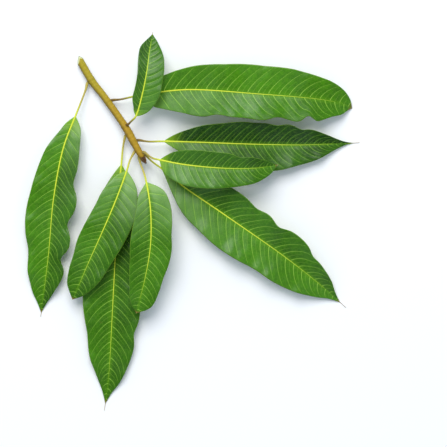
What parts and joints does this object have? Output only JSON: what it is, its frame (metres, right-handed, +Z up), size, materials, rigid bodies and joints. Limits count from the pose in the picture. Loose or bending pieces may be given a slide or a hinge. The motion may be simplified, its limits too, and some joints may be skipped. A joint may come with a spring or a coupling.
{
  "type": "mango leaf sprig",
  "caption": "Cut mango shoot lying flat: a slanted-cut twig with long glossy lance-shaped leaves crowded toward a small terminal bud.",
  "frame": {"origin": "centre of the sprig's outer box, on the surface it lies on", "axes": "+Y toward the cut end of the twig, +X toward the long right-hand leaves, +Z up from the surface through the upper faces of the leaves"},
  "size_m": [0.3302, 0.3717, 0.0319],
  "materials": {
    "bark": "smooth young olive-ochre bark, semi-matt",
    "bud_scale": "matt red-brown scales",
    "leaf_blade": "leathery deep green, glossy upper face with pale yellow-green veins"
  },
  "bodies": {
    "root": {"twig": "bark", "terminal_bud": "bud_scale", "leaf_1": "leaf_blade", "leaf_2": "leaf_blade", "leaf_3": "leaf_blade", "leaf_4": "leaf_blade", "leaf_5": "leaf_blade", "leaf_6": "leaf_blade", "leaf_7": "leaf_blade", "leaf_8": "leaf_blade", "leaf_9": "leaf_blade"}
  },
  "joints": []
}
